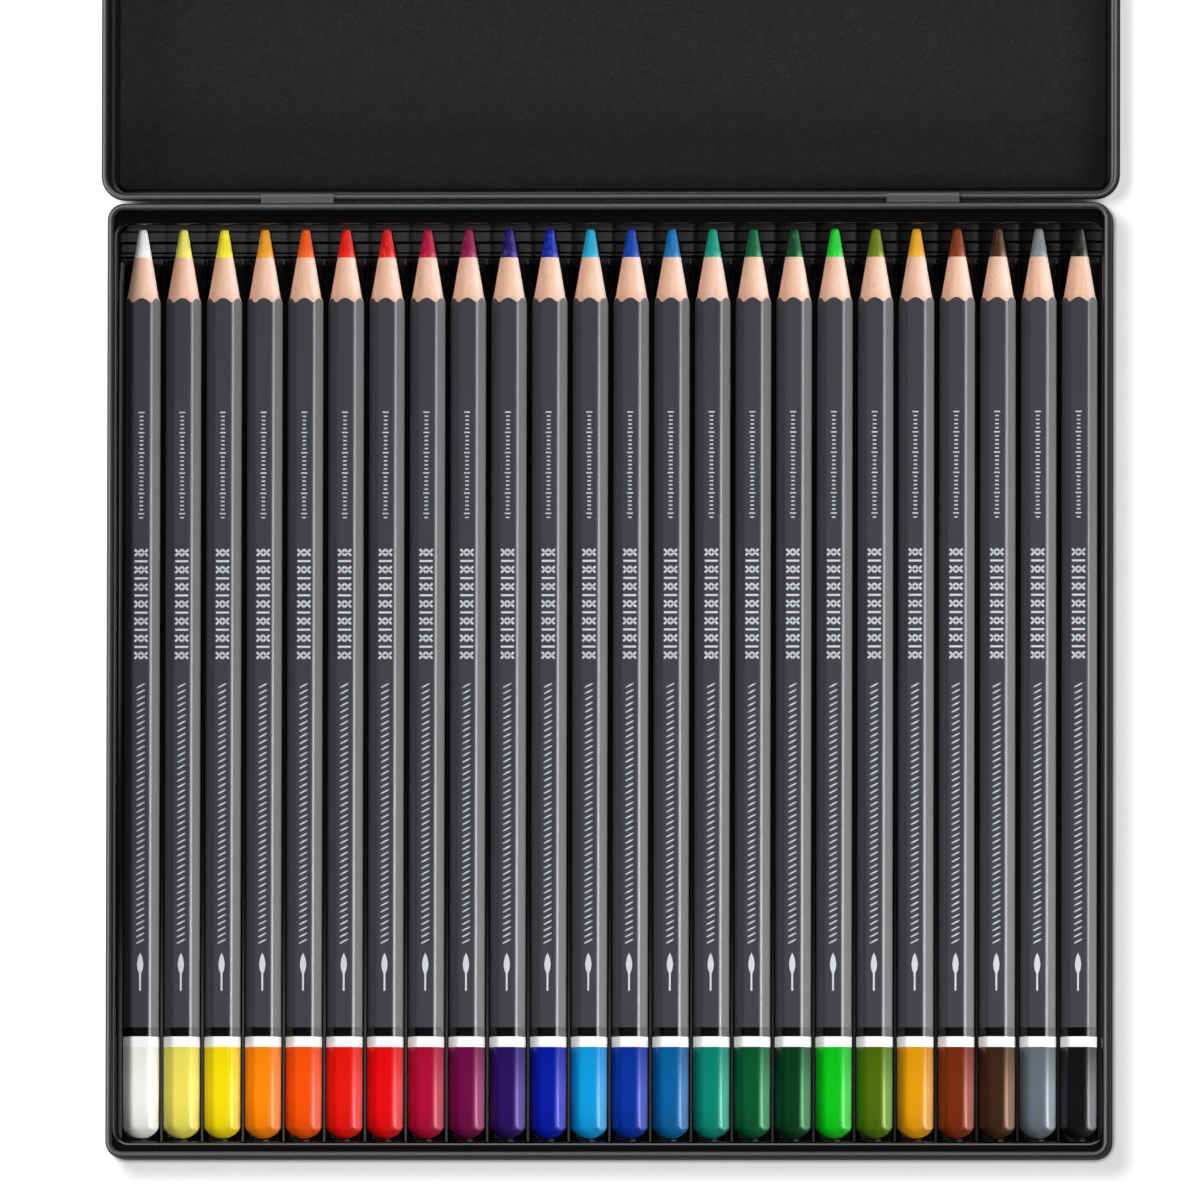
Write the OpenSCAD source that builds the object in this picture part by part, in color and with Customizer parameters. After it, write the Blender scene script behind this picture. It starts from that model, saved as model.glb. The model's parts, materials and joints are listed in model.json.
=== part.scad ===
// Flat hinged tin with one row of hexagonal coloured pencils.
//
// The tray stands with the centre of its underside at the origin. +X runs along the row, +Y points
// from the pencils' dipped ends to their tips and on to the hinge, and +Z is up. The lid is drawn
// open, lying on its top face behind the tray. The tin's size follows from the pencils it holds.

/* [Pencils] */
// Number of pencils in the row
pencil_count = 24; // [6:1:28]
// Length of one pencil
pencil_len = 175; // [120:1:190]
// Width of a pencil across its flats
pencil_flats = 6.3; // [5.5:0.1:8]
// How far the hexagon's edges are rounded off
edge_blunt = 0.1; // [0.02:0.01:0.2]
// Free space between one pencil's edge and the next
pencil_gap = 0.77; // [0.4:0.01:3]
// Diameter of the coloured core
core_d = 3.4; // [2:0.1:4]
// Diameter of the blunt point of the core
point_d = 1.5; // [0.6:0.1:1.6]
// Length of core that stands out of the sharpened wood
bare_core = 5.5; // [4:0.1:8]
// Length of the steeper run-out where the sharpened cone meets the flats
runout_len = 1.55; // [0.8:0.05:3]
// Height of the rounded end
end_dome = 2.3; // [0.5:0.1:2.6]
// Wood and dip left behind the end of the core
core_stop = 1.5; // [0.8:0.1:4]

/* [Tin] */
// Thickness of the tinplate
tin_t = 0.3; // [0.2:0.05:0.4]
// Outer radius of the curled rims
curl_r = 0.65; // [0.5:0.05:0.9]
// Outer radius of the tray's upright corners
tray_corner_r = 3.2; // [2.8:0.1:9]
// Outer radius where the walls turn into the floor
foot_r = 1; // [0.6:0.1:1.2]
// Height of the tray's rim above the insert
rim_rise = 4; // [3:0.1:12]

/* [Lid] */
// Gap between the tray's walls and the lid's walls
lid_gap = 0.25; // [0.2:0.05:0.6]
// The same gap at the hinge side
hinge_gap = 0.8; // [0.6:0.05:1.4]
// Thickness of the foam sheet in the lid
pad_t = 1; // [0.6:0.1:2.5]
// Gap between the foam sheet and the closed tray's rim
pad_clear = 0.3; // [0.2:0.05:1]
// Bare margin at each side of the foam sheet
pad_side_margin = 1.7; // [1:0.1:6]
// Bare margin at each end of the foam sheet
pad_end_margin = 1.2; // [1:0.1:6]
// Corner radius of the foam sheet
pad_corner_r = 1.5; // [0.5:0.1:5]

/* [Hinges] */
// Distance between the middles of the two hinges
hinge_spacing = 120.5; // [60:0.5:150]
// Width of a hinge tongue
tongue_w = 14; // [8:0.5:20]
// Gap at each side of a tongue in its window
tongue_side_gap = 0.4; // [0.3:0.05:1]
// Running gap between a tongue and the curl that it wraps
hinge_fit = 0.08; // [0.04:0.01:0.1]
// Clearance between a tongue's outside and the far edge of its window
window_clear = 0.5; // [0.4:0.05:1.5]

/* [Insert] */
// Thickness of the formed plastic sheet
sheet_t = 0.4; // [0.3:0.05:0.5]
// Gap between the insert and the tray, all round and underneath
insert_fit = 0.1; // [0.05:0.01:0.3]
// Gap between a pencil's edges and its groove
groove_gap = 0.2; // [0.15:0.01:0.5]
// Height of the pencils' axis above the ridges between the grooves
ridge_drop = 0.4; // [0.2:0.05:1.5]
// Height of the insert's flange above the pencils' top flats
flange_rise = 0.8; // [0.2:0.1:4]
// Width of the flange at each side
flange_side = 1.4; // [1:0.1:8]
// Width of the flange at the hinge
flange_back = 3.4; // [2:0.1:8]
// Width of the flange at the front
flange_front = 2.9; // [2:0.1:8]
// Gap between the outer pencils and the pocket's side walls
side_gap = 1; // [0.5:0.1:4]
// Gap between the tips and the pocket's back wall
tip_gap = 0.8; // [0.5:0.1:4]
// Gap between the rounded ends and the pocket's front wall
end_gap = 0.7; // [0.5:0.1:4]
// Radius of the pocket's corners
pocket_corner_r = 2.4; // [2:0.1:4.5]
// Distance from the tips to where the grooves begin
groove_start = 6.6; // [6.4:0.1:14]
// Width of the cross rib under the tips
tip_rib_w = 2.3; // [1:0.1:2.4]
// Distance from the tips to the cross rib under them
tip_rib_at = 0.2; // [0.1:0.1:0.6]
// Width of the cross rib under the bare cores
core_rib_w = 1; // [0.9:0.1:1.1]
// Distance from the tips to the cross rib under the bare cores
core_rib_at = 4.3; // [3.6:0.1:5]
// Gap between the cross ribs and the cones above them
rib_gap = 0.4; // [0.2:0.05:1]

/* [Hidden] */
$fn = 48;

// Pencils, along their own axis
hex_r = pencil_flats / 2 / cos(30);
pencil_r = hex_r - edge_blunt;
core_r = core_d / 2;
point_r = point_d / 2;
core_fit = 0.01;
wood_lip = 0.25;
runout_step = 0.14;
cone_slope = (core_r - point_r) / bare_core;
cone_foot_r = pencil_flats / 2 - runout_step;
cone_len = (cone_foot_r - point_r) / cone_slope;
dome_flat = 0.01;
barrel_clear = 1;
dome_sphere_r = (pencil_r * pencil_r + end_dome * end_dome) / (2 * end_dome);
pencil_pitch = 2 * pencil_r + pencil_gap;

// Insert
groove_r = pencil_r + groove_gap;
insert_w = pencil_pitch * (pencil_count - 1) + 2 * (pencil_r + side_gap + flange_side);
insert_d = pencil_len + tip_gap + end_gap + flange_back + flange_front;
pocket_w = insert_w - 2 * flange_side;
pocket_d = pencil_len + tip_gap + end_gap;
insert_floor = tin_t + insert_fit;
pencil_z = insert_floor + sheet_t + groove_r;
ridge_z = pencil_z - ridge_drop;
insert_top = pencil_z + pencil_flats / 2 + flange_rise;
pocket_front = -insert_d / 2 + flange_front;
pocket_back = insert_d / 2 - flange_back;
pencil_end_y = pocket_front + end_gap;
pencil_tip_y = pencil_end_y + pencil_len;

// Tray
tray_w = insert_w + 2 * (insert_fit + tin_t);
tray_d = insert_d + 2 * (insert_fit + tin_t);
tray_h = insert_top + rim_rise;
insert_corner_r = tray_corner_r - tin_t - insert_fit;

// Lid and hinge. The lid's curl is the hinge pin, and the lid turns half a turn about it.
glue_t = 0.05;
hinge_z = (tray_h + pad_clear + pad_t + glue_t + tin_t) / 2;
hinge_y = tray_d / 2 + hinge_gap + curl_r;
lid_w = tray_w + 2 * lid_gap;
lid_d = tray_d + lid_gap + hinge_gap;
lid_corner_r = tray_corner_r + lid_gap;
lid_y = hinge_y + curl_r + lid_d / 2;
tongue_in_r = curl_r + hinge_fit;
tongue_out_r = tongue_in_r + tin_t;
window_w = tongue_w + 2 * tongue_side_gap;
window_h = tongue_out_r + window_clear;
wrap_angle = 120;
cut = 0.1;

tin_black = "#1c1d1f";
foam_black = "#2a2a2b";
sheet_black = "#0e0e10";
casing_grey = "#45474c";
core_colors = [
    "#f6f6f6", "#ebe15f", "#f5e100", "#ff9105", "#f85405", "#f0190f", "#ea0a16", "#c80a3c",
    "#820f5a", "#321478", "#0019a0", "#0a9bdc", "#0037b4", "#0073b4", "#009678", "#006937",
    "#004123", "#00cd1e", "#507300", "#f5a50a", "#7d2d0f", "#3c2814", "#697887", "#141414"
];

function two_digits(i) = str(i < 10 ? "0" : "", i);
function casing_name(i) = str("pencil_", two_digits(i), "_casing");
function core_name(i) = str("pencil_", two_digits(i), "_core");
function pencil_x(i) = (i - (pencil_count + 1) / 2) * pencil_pitch;
// Radius of the sharpened cone at a distance from the tip
function cone_radius(s) = point_r + cone_slope * s;

// ---- Shared shapes ----

// A rectangle with round corners, centred
module round_rect(w, d, r) {
    square([w - 2 * r, d], center = true);
    square([w, d - 2 * r], center = true);
    for (x = [-1, 1], y = [-1, 1])
        translate([x * (w / 2 - r), y * (d / 2 - r)]) circle(r);
}

// A flat plate with round corners
module round_plate(w, d, r, t) {
    linear_extrude(t) round_rect(w, d, r);
}

// Carries a profile round a rectangle with round corners. The profile's x is the distance from the
// corner's centre, and its y is the height.
module round_sweep(w, d, r) {
    for (i = [0:3]) {
        long = i % 2 == 0 ? w : d;
        deep = i % 2 == 0 ? d : w;
        rotate(90 * i) translate([long / 2 - r, deep / 2 - r, 0]) {
            rotate_extrude(angle = 90) children();
            rotate([90, 0, 0]) linear_extrude(deep - 2 * r) children();
        }
    }
}

module ring(r, t) {
    difference() {
        circle(r);
        circle(r - t);
    }
}

// A quarter of a ring, turned anticlockwise by a number of quarters
module quarter_ring(r, t, quarters) {
    intersection() {
        ring(r, t);
        rotate(90 * quarters) square(r + cut);
    }
}

// A curled rim: a ring with one open quarter
module curl(open_quarter) {
    difference() {
        ring(curl_r, tin_t);
        rotate(90 * open_quarter) square(curl_r + cut);
    }
}

// ---- Tray ----

// Foot, wall and inward curl of the tray, with the outer face at the corner radius
module tray_profile() {
    translate([tray_corner_r - foot_r, foot_r]) quarter_ring(foot_r, tin_t, 3);
    translate([tray_corner_r - tin_t, foot_r]) square([tin_t, tray_h - curl_r - foot_r]);
    translate([tray_corner_r - curl_r, tray_h - curl_r]) curl(3);
}

// A tongue of the tray's back wall that wraps the lid's curl from above
module hinge_tongue() {
    strap = hinge_y - tray_d / 2 + tin_t / 2;
    rotate([90, 0, 90]) linear_extrude(tongue_w, center = true) {
        translate([-strap, tongue_in_r]) square([strap, tin_t]);
        difference() {
            ring(tongue_out_r, tin_t);
            rotate(90) square(tongue_out_r + cut);
            rotate(270 - wrap_angle) square(tongue_out_r + cut);
        }
    }
}

module tray() color(tin_black) {
    round_sweep(tray_w, tray_d, tray_corner_r) tray_profile();
    round_plate(tray_w - 2 * foot_r, tray_d - 2 * foot_r, tray_corner_r - foot_r, tin_t);
    for (side = [-1, 1])
        translate([side * hinge_spacing / 2, hinge_y, hinge_z]) hinge_tongue();
}

// ---- Lid, open and lying on its top face ----

// Edge, wall and outward curl of the lid, with the inner face at the corner radius
module lid_profile() {
    translate([lid_corner_r + tin_t - foot_r, foot_r]) quarter_ring(foot_r, tin_t, 3);
    translate([lid_corner_r, foot_r]) square([tin_t, hinge_z - foot_r]);
    translate([lid_corner_r + curl_r, hinge_z]) curl(2);
}

// The window in the lid's back wall that a tongue turns through
module hinge_window() {
    translate([-window_w / 2, curl_r - tin_t - cut, -window_h])
        cube([window_w, tin_t + 2 * cut, window_h]);
}

module lid() color(tin_black) difference() {
    translate([0, lid_y, 0]) {
        round_sweep(lid_w, lid_d, lid_corner_r) lid_profile();
        round_plate(
            lid_w + 2 * (tin_t - foot_r), lid_d + 2 * (tin_t - foot_r), lid_corner_r + tin_t - foot_r, tin_t
        );
    }
    for (side = [-1, 1])
        translate([side * hinge_spacing / 2, hinge_y, hinge_z]) hinge_window();
}

module lid_pad() color(foam_black) {
    translate([0, lid_y, tin_t + glue_t])
        round_plate(lid_w - 2 * pad_side_margin, lid_d - 2 * pad_end_margin, pad_corner_r, pad_t);
}

// ---- Insert ----

// The outline of the pocket, grown into its walls
module pocket_outline(grow) {
    translate([0, (pocket_front + pocket_back) / 2])
        round_rect(pocket_w + 2 * grow, pocket_d + 2 * grow, pocket_corner_r + grow);
}

// A row of circles at the pencils' places, across the tin
module groove_circles(r) {
    for (i = [1:pencil_count]) translate([pencil_x(i), pencil_z]) circle(r);
}

// The space above the sheet's grooves, or below them, as seen along a pencil
module groove_section(hollow) {
    half = pocket_w / 2 + sheet_t / 2;
    difference() {
        translate([-half, insert_floor]) square([2 * half, ridge_z - insert_floor]);
        groove_circles(groove_r);
        if (hollow)
            difference() {
                translate([-half - cut, insert_floor - cut])
                    square([2 * (half + cut), ridge_z - sheet_t - insert_floor + cut]);
                groove_circles(groove_r + sheet_t);
            }
    }
}

// Extrudes a section drawn in x and z from one y to another
module along_y(from, to) {
    translate([0, to, 0]) rotate([90, 0, 0]) linear_extrude(to - from) children();
}

// A cross rib of the nose bed, between two distances from the tips, kept clear of the cones above
module cross_rib(near, far) {
    top = pencil_z - cone_radius(far) - rib_gap;
    translate([-pocket_w / 2 - sheet_t / 2, pencil_tip_y - far, insert_floor])
        cube([pocket_w + sheet_t, far - near, top - insert_floor]);
}

module insert_bed() {
    bed_y = pencil_tip_y - groove_start;
    along_y(pocket_front - sheet_t / 2, bed_y - sheet_t) groove_section(true);
    along_y(bed_y - sheet_t, bed_y) groove_section(false);
    translate([-pocket_w / 2 - sheet_t / 2, bed_y, insert_floor])
        cube([pocket_w + sheet_t, pocket_back + sheet_t / 2 - bed_y, sheet_t]);
    cross_rib(tip_rib_at, tip_rib_at + tip_rib_w);
    cross_rib(core_rib_at, core_rib_at + core_rib_w);
}

module insert() color(sheet_black) {
    difference() {
        union() {
            translate([0, 0, insert_top - sheet_t])
                round_plate(insert_w, insert_d, insert_corner_r, sheet_t);
            translate([0, 0, insert_floor])
                linear_extrude(insert_top - insert_floor - sheet_t / 2) pocket_outline(sheet_t);
        }
        translate([0, 0, insert_floor - cut])
            linear_extrude(insert_top - insert_floor + 2 * cut) pocket_outline(0);
    }
    intersection() {
        insert_bed();
        translate([0, 0, insert_floor - cut])
            linear_extrude(ridge_z - insert_floor + 2 * cut) pocket_outline(sheet_t / 2);
    }
}

// ---- Pencils ----

// Sets a pencil, drawn upright on its rounded end, in its groove with the tip towards +Y
module in_groove(i) {
    translate([pencil_x(i), pencil_end_y, pencil_z]) rotate([-90, 0, 0]) children();
}

// Half of the lengthwise section that the sharpener and the dip give the wood. Along the barrel it
// stays outside the hexagon, and the round end has a small flat in its middle.
module turned_section() {
    centre_z = dome_sphere_r - dome_flat;
    clear_r = hex_r + barrel_clear;
    runout = (clear_r - cone_foot_r) * runout_len / (hex_r - cone_foot_r);
    intersection() {
        translate([0, centre_z]) circle(dome_sphere_r);
        square([dome_sphere_r, centre_z]);
    }
    polygon([
        [0, centre_z],
        [dome_sphere_r, centre_z],
        [clear_r, centre_z + clear_r],
        [clear_r, pencil_len - cone_len - runout],
        [cone_foot_r, pencil_len - cone_len],
        [cone_radius(bare_core + wood_lip), pencil_len - bare_core - wood_lip],
        [0, pencil_len - bare_core - wood_lip]
    ]);
}

module pencil_casing(i) color(casing_grey) in_groove(i) {
    difference() {
        intersection() {
            linear_extrude(pencil_len) intersection() {
                circle(hex_r, $fn = 6);
                circle(pencil_r);
            }
            rotate_extrude() turned_section();
        }
        translate([0, 0, core_stop]) cylinder(h = pencil_len, r = core_r + core_fit);
    }
}

module pencil_core(i) color(core_colors[(i - 1) % len(core_colors)]) in_groove(i) {
    translate([0, 0, core_stop]) cylinder(h = pencil_len - bare_core - core_stop, r = core_r);
    translate([0, 0, pencil_len - bare_core]) cylinder(h = bare_core, r1 = core_r, r2 = point_r);
}

tray();
insert();
lid();
lid_pad();
for (i = [1:pencil_count]) {
    pencil_casing(i);
    pencil_core(i);
}
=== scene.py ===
import json
from math import acos, cos, degrees, pi, radians, sin, sqrt

import bmesh
import bpy
from mathutils import Matrix, Vector


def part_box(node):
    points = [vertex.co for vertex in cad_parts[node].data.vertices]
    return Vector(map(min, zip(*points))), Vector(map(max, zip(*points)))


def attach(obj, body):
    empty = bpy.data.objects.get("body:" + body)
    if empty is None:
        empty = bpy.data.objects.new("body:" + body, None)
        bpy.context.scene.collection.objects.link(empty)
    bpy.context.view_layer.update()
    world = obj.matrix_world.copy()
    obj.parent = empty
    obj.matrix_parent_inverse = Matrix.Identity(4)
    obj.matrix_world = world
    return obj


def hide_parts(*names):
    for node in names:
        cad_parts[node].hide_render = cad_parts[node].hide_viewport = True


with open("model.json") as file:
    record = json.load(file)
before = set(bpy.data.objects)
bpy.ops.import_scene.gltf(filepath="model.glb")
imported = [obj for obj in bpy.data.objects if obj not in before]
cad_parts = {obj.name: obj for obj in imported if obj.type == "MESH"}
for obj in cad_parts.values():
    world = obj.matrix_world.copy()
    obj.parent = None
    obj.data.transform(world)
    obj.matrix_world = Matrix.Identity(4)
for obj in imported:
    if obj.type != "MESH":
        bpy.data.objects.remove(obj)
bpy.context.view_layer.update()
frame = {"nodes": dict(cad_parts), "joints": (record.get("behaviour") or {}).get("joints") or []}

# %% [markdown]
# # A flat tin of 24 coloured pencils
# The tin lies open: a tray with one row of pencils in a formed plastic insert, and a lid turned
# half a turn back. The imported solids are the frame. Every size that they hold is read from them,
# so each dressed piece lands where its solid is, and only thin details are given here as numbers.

MM = 0.001
tray_low, tray_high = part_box("tray")
lid_low, lid_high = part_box("lid")
foam_low, foam_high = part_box("lid_pad")
insert_low, insert_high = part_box("insert")
hinge = Vector(next(j["pos_m"] for j in frame["joints"] if j["name"] == "lid_hinge"))
casings = sorted(name for name in frame["nodes"] if name.endswith("_casing"))
print("hinge axis at y, z in mm:", [round(v / MM, 2) for v in hinge.yz])

# %% [markdown]
# ## Camera
# The tin is seen from almost straight above and from far away, so a long lens keeps its sides
# parallel. The view leans a few degrees to the right and to the front. The lens is worked out
# from the width that the picture has to take in.

# %% Camera
VIEW_DISTANCE = 6.0
SENSOR = 36.0
FRAME_WIDTH = 230.9 * MM
TOWARDS_CAMERA = Vector((0.058, -0.048, 1.0)).normalized()
AIM = Vector((-2.25, 15.98, 0)) * MM
ROLL = radians(0.11)

lens = bpy.data.cameras.new("long_lens")
lens.sensor_width = SENSOR
lens.lens = SENSOR * VIEW_DISTANCE / FRAME_WIDTH
lens.clip_end = 100
camera = bpy.data.objects.new("camera", lens)
bpy.context.scene.collection.objects.link(camera)
right = Vector((0, 1, 0)).cross(TOWARDS_CAMERA).normalized()
upright = Matrix((right, TOWARDS_CAMERA.cross(right), TOWARDS_CAMERA)).transposed().to_4x4()
place = Matrix.Translation(AIM + TOWARDS_CAMERA * VIEW_DISTANCE)
camera.matrix_world = place @ upright @ Matrix.Rotation(ROLL, 4, "Z")
bpy.context.scene.camera = camera
print("lens in mm:", round(lens.lens))

# %% [markdown]
# ## Two helpers for finishes
# Colours are written as sRGB hex values, the way a paint chart gives them, and turned to the
# linear values that Blender mixes light with. The second helper adds one node with its settings
# and its inputs, each a plain value or a link.


# %% Colour and node helpers
def linear(code):
    """The linear colour of an sRGB hex value, with alpha."""
    parts = [int(code[i : i + 2], 16) / 255 for i in (1, 3, 5)]
    return [c / 12.92 if c <= 0.04045 else ((c + 0.055) / 1.055) ** 2.4 for c in parts] + [1.0]


def add(tree, kind, settings=(), inputs=()):
    """Adds a node. Inputs are named or numbered, and each is a value or another node's output."""
    node = tree.nodes.new("ShaderNode" + kind)
    for name, value in dict(settings).items():
        setattr(node, name, value)
    for key, value in dict(inputs).items():
        if isinstance(value, bpy.types.NodeSocket):
            tree.links.new(value, node.inputs[key])
        else:
            node.inputs[key].default_value = value
    return node


def new_finish(name):
    """An empty material: its node tree, its output node and its Object coordinates."""
    material = bpy.data.materials.new(name)
    material.use_nodes = True
    tree = material.node_tree
    tree.nodes.clear()
    output = add(tree, "OutputMaterial")
    return material, tree, output, add(tree, "TexCoord").outputs["Object"]


print("white is", [round(c, 2) for c in linear("#ffffff")])

# %% [markdown]
# ## Black lacquered tinplate
# The tin is drawn from tinplate that was roller-coated with black stoving lacquer. The lacquer has
# a soft orange peel about 2 mm across, which breaks the edge of a reflection, and its gloss drifts
# a little from place to place. Drawing and curling stretch and dull it. So one function makes two
# finishes: a satin one for the worked metal, and a smoother one for the lid's flat panel.

# %% Stoved black lacquer on tinplate
PEEL_ACROSS = 2.2 * MM
PEEL_DEPTH = 0.004 * MM
HAZE_ACROSS = 18 * MM


def stoved_lacquer(name, smoothest, roughest):
    """Black stoving lacquer, whose roughness wanders between two values."""
    material, tree, output, where = new_finish(name)
    peel = add(tree, "TexNoise", inputs={"Vector": where, "Scale": 1 / PEEL_ACROSS, "Detail": 2.0})
    haze = add(tree, "TexNoise", inputs={"Vector": where, "Scale": 1 / HAZE_ACROSS, "Detail": 4.0})
    gloss = add(tree, "MapRange", inputs={0: haze.outputs[0], 3: smoothest, 4: roughest})
    bump = add(tree, "Bump", inputs={"Distance": PEEL_DEPTH, "Height": peel.outputs[0]})
    skin = add(
        tree,
        "BsdfPrincipled",
        inputs={
            "Base Color": linear("#0c0c0e"),
            "Roughness": gloss.outputs[0],
            "IOR": 1.52,
            "Normal": bump.outputs[0],
        },
    )
    tree.links.new(skin.outputs[0], output.inputs[0])
    return material


tinplate = stoved_lacquer("stoved_black_lacquer_on_drawn_tinplate", 0.5, 0.6)
flat_tinplate = stoved_lacquer("stoved_black_lacquer_on_flat_tinplate", 0.22, 0.28)
print("made", tinplate.name, "and", flat_tinplate.name)

# %% [markdown]
# ## Thermoformed black plastic
# The insert is one sheet of black polystyrene, heated and sucked over a mould. It comes off with
# a high gloss, and with slow waves where the sheet cooled unevenly, so its reflections wander.

# %% Thermoformed polystyrene
WAVE_ACROSS = 7 * MM
WAVE_DEPTH = 0.03 * MM

formed, tree, output, where = new_finish("thermoformed_black_polystyrene")
wave = add(tree, "TexNoise", inputs={"Vector": where, "Scale": 1 / WAVE_ACROSS, "Detail": 1.0})
bump = add(tree, "Bump", inputs={"Distance": WAVE_DEPTH, "Height": wave.outputs[0]})
skin = add(
    tree,
    "BsdfPrincipled",
    inputs={
        "Base Color": linear("#060607"),
        "Roughness": 0.2,
        "IOR": 1.59,
        "Normal": bump.outputs[0],
    },
)
tree.links.new(skin.outputs[0], output.inputs[0])
print("made", formed.name)

# %% [markdown]
# ## Foam sheet
# The lid is lined with black EVA foam. Its cut cells are about a third of a millimetre across:
# each is a tiny pit, and together they scatter all light. The shade in each pit is painted into
# the colour, darker at a cell's middle and paler towards its rim.

# %% Matt black EVA foam
CELL_ACROSS = 0.34 * MM
CELL_DEPTH = 0.08 * MM
CLOUD_ACROSS = 2.5 * MM

foam, tree, output, where = new_finish("matt_black_eva_foam")
cells = add(tree, "TexVoronoi", inputs={"Vector": where, "Scale": 1 / CELL_ACROSS})
cloud = add(tree, "TexNoise", inputs={"Vector": where, "Scale": 1 / CLOUD_ACROSS, "Detail": 3.0})
# Painted shade: each cell is darker at its middle, where its pit would be in shade, and paler at
# its rim.
rim = add(
    tree,
    "Mix",
    {"data_type": "RGBA"},
    {0: cells.outputs["Distance"], 6: linear("#29292a"), 7: linear("#3c3c3d")},
)
shade = add(
    tree,
    "Mix",
    {"data_type": "RGBA", "blend_type": "MULTIPLY"},
    {0: 0.35, 6: rim.outputs[2], 7: cloud.outputs["Color"]},
)
bump = add(tree, "Bump", inputs={"Distance": CELL_DEPTH, "Height": cells.outputs["Distance"]})
skin = add(
    tree,
    "BsdfPrincipled",
    inputs={
        "Base Color": shade.outputs[2],
        "Roughness": 0.95,
        "IOR": 1.45,
        "Specular IOR Level": 0.2,
        "Normal": bump.outputs[0],
    },
)
tree.links.new(skin.outputs[0], output.inputs[0])
print("made", foam.name)

# %% [markdown]
# ## Lacquers on the pencils
# A pencil gets several thin coats of nitrocellulose lacquer. The wood's grain, running along the
# pencil, shows through them as faint long ridges. The body colour is a satin anthracite, the two
# bands are gloss black and white, and the end is dipped in glossy enamel of the core's colour.
# They differ only in colour and gloss, so one function makes them all. The enamel is translucent
# at its surface, and much of its broad shine comes back from inside it, so that shine is tinted.

# %% Pencil lacquers
GRAIN_ACROSS = 0.45 * MM
GRAIN_ALONG = 30 * MM
GRAIN_DEPTH = 0.008 * MM


def tinted(colour, share):
    """White, turned a share of the way to the pure hue of a colour."""
    parts = linear(colour)[:3]
    return [1 - share + share * c / max(parts) for c in parts] + [1.0]


def pencil_lacquer(name, colour, roughness, coat=0.0, tone=0.06, ior=1.5, tint_share=0.0):
    """Satin or gloss lacquer over grain that runs along Y. Tone is how far its shade drifts."""
    material, tree, output, where = new_finish(name)
    along = add(
        tree,
        "Mapping",
        inputs={"Vector": where, "Scale": (1 / GRAIN_ACROSS, 1 / GRAIN_ALONG, 1 / GRAIN_ACROSS)},
    )
    grain = add(tree, "TexNoise", inputs={"Vector": along.outputs[0], "Scale": 1.0, "Detail": 2.0})
    depth = add(tree, "MapRange", inputs={0: grain.outputs[0], 3: 1 - tone, 4: 1 + tone})
    tint = add(
        tree,
        "Mix",
        {"data_type": "RGBA", "blend_type": "MULTIPLY"},
        {0: 1.0, 6: linear(colour), 7: depth.outputs[0]},
    )
    bump = add(tree, "Bump", inputs={"Distance": GRAIN_DEPTH, "Height": grain.outputs[0]})
    skin = add(
        tree,
        "BsdfPrincipled",
        inputs={
            "Base Color": tint.outputs[2],
            "Roughness": roughness,
            "IOR": ior,
            "Specular Tint": tinted(colour, tint_share),
            "Coat Weight": coat,
            "Coat Roughness": 0.2,
            "Normal": bump.outputs[0],
        },
    )
    tree.links.new(skin.outputs[0], output.inputs[0])
    return material


anthracite = pencil_lacquer("satin_anthracite_nitro_lacquer", "#3b3d43", 0.46, coat=0.4)
black_band = pencil_lacquer("gloss_black_nitro_lacquer", "#020203", 0.42, coat=0.3)
white_band = pencil_lacquer("gloss_white_nitro_lacquer", "#f6f6f4", 0.45, tone=0.01)
print("made", anthracite.name, black_band.name, white_band.name)

# %% [markdown]
# ## Sharpened wood
# The sharpener leaves bare, pale, straight-grained wood, such as jelutong. Its shade drifts along
# the pencil in lines under a millimetre apart, and darker pores show as short dashes on the cone.
# The blade leaves the cut smooth, so it has a broad, weak sheen, and its gloss is set above that of
# sawn wood.

# %% Bare jelutong wood
PORE_ACROSS = 0.16 * MM
PORE_ALONG = 2.2 * MM
PORE_DEPTH = 0.02 * MM
GROWTH_ACROSS = 0.7 * MM
GROWTH_ALONG = 14 * MM

wood, tree, output, where = new_finish("sharpened_jelutong_wood")
lines = add(
    tree,
    "Mapping",
    inputs={"Vector": where, "Scale": (1 / GROWTH_ACROSS, 1 / GROWTH_ALONG, 1 / GROWTH_ACROSS)},
)
growth = add(tree, "TexNoise", inputs={"Vector": lines.outputs[0], "Scale": 1.0, "Detail": 3.0})
dashes = add(
    tree,
    "Mapping",
    inputs={"Vector": where, "Scale": (1 / PORE_ACROSS, 1 / PORE_ALONG, 1 / PORE_ACROSS)},
)
pores = add(tree, "TexNoise", inputs={"Vector": dashes.outputs[0], "Scale": 1.0, "Detail": 1.0})
pore_mask = add(tree, "MapRange", inputs={0: pores.outputs[0], 1: 0.62, 2: 0.74, 3: 0.0, 4: 0.45})
tone = add(
    tree,
    "Mix",
    {"data_type": "RGBA"},
    {0: growth.outputs[0], 6: linear("#f8b18a"), 7: linear("#ffdac2")},
)
grained = add(
    tree,
    "Mix",
    {"data_type": "RGBA"},
    {0: pore_mask.outputs[0], 6: tone.outputs[2], 7: linear("#a9714c")},
)
bump = add(tree, "Bump", inputs={"Distance": PORE_DEPTH, "Height": pores.outputs[0]})
skin = add(
    tree,
    "BsdfPrincipled",
    inputs={
        "Base Color": grained.outputs[2],
        "Roughness": 0.62,
        "IOR": 1.8,
        "Specular IOR Level": 1.0,
        "Normal": bump.outputs[0],
    },
)
tree.links.new(skin.outputs[0], output.inputs[0])
print("made", wood.name)

# %% [markdown]
# ## Cores and dips in 24 colours
# A core is pigment bound with wax and clay. It is dull, with fine drag marks along it and small
# paler crumbs where the sharpener tore it, and its wax tints the little shine that it has. The dip
# at the other end is a gloss enamel of about the same hue. The chart gives each pencil's dip first
# and its core second.

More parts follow.
